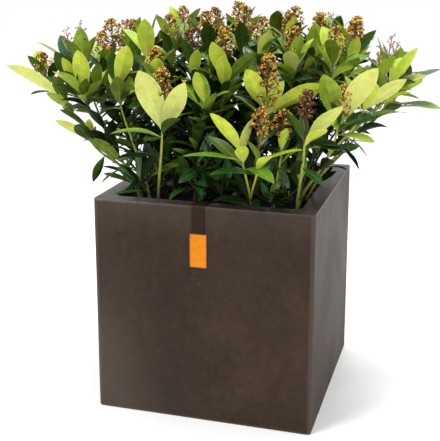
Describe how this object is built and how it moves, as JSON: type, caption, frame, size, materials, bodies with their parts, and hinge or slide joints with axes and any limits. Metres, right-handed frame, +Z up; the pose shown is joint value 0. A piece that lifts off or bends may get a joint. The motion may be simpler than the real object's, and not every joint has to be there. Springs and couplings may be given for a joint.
{
  "type": "potted skimmia shrub",
  "caption": "Flowering evergreen shrub with splayed stems, whorls of oval leaves and upright bud panicles, in a square fibre-clay pot.",
  "frame": {"origin": "middle of the pot's flat underside", "axes": "+Z up, +X along the pot's front face to the right, -Y out of the front face, where the label hangs"},
  "size_m": [0.8057, 0.5837, 0.7279],
  "materials": {
    "fibre_clay": "matte",
    "soil": "matte",
    "strap": "satin",
    "tag": "satin",
    "bark": "matte",
    "leaf": "satin"
  },
  "bodies": {
    "root": {"pot": "fibre_clay", "soil": "soil", "label_strap": "strap", "label_tag": "tag", "stem_01": "bark", "stem_02": "bark", "stem_03": "bark", "stem_04": "bark", "stem_05": "bark", "stem_06": "bark", "stem_07": "bark", "stem_08": "bark", "stem_09": "bark", "stem_10": "bark", "stem_11": "bark", "stem_12": "bark", "stem_13": "bark", "stem_14": "bark", "stem_15": "bark", "stem_16": "bark", "stem_17": "bark", "stem_18": "bark", "stem_19": "bark", "stem_20": "bark", "stem_21": "bark", "stem_22": "bark", "stem_23": "bark", "stem_24": "bark", "stem_25": "bark", "stem_26": "bark", "stem_27": "bark", "stem_28": "bark", "foliage_01": "leaf", "foliage_02": "leaf", "foliage_03": "leaf", "foliage_04": "leaf", "foliage_05": "leaf", "foliage_06": "leaf", "foliage_07": "leaf", "foliage_08": "leaf", "foliage_09": "leaf", "foliage_10": "leaf", "foliage_11": "leaf", "foliage_12": "leaf", "foliage_13": "leaf", "foliage_14": "leaf", "foliage_15": "leaf", "foliage_16": "leaf", "foliage_17": "leaf", "foliage_18": "leaf", "foliage_19": "leaf", "foliage_20": "leaf", "foliage_21": "leaf", "foliage_22": "leaf", "foliage_23": "leaf", "foliage_24": "leaf", "foliage_25": "leaf", "foliage_26": "leaf", "foliage_27": "leaf", "foliage_28": "leaf"}
  },
  "joints": []
}
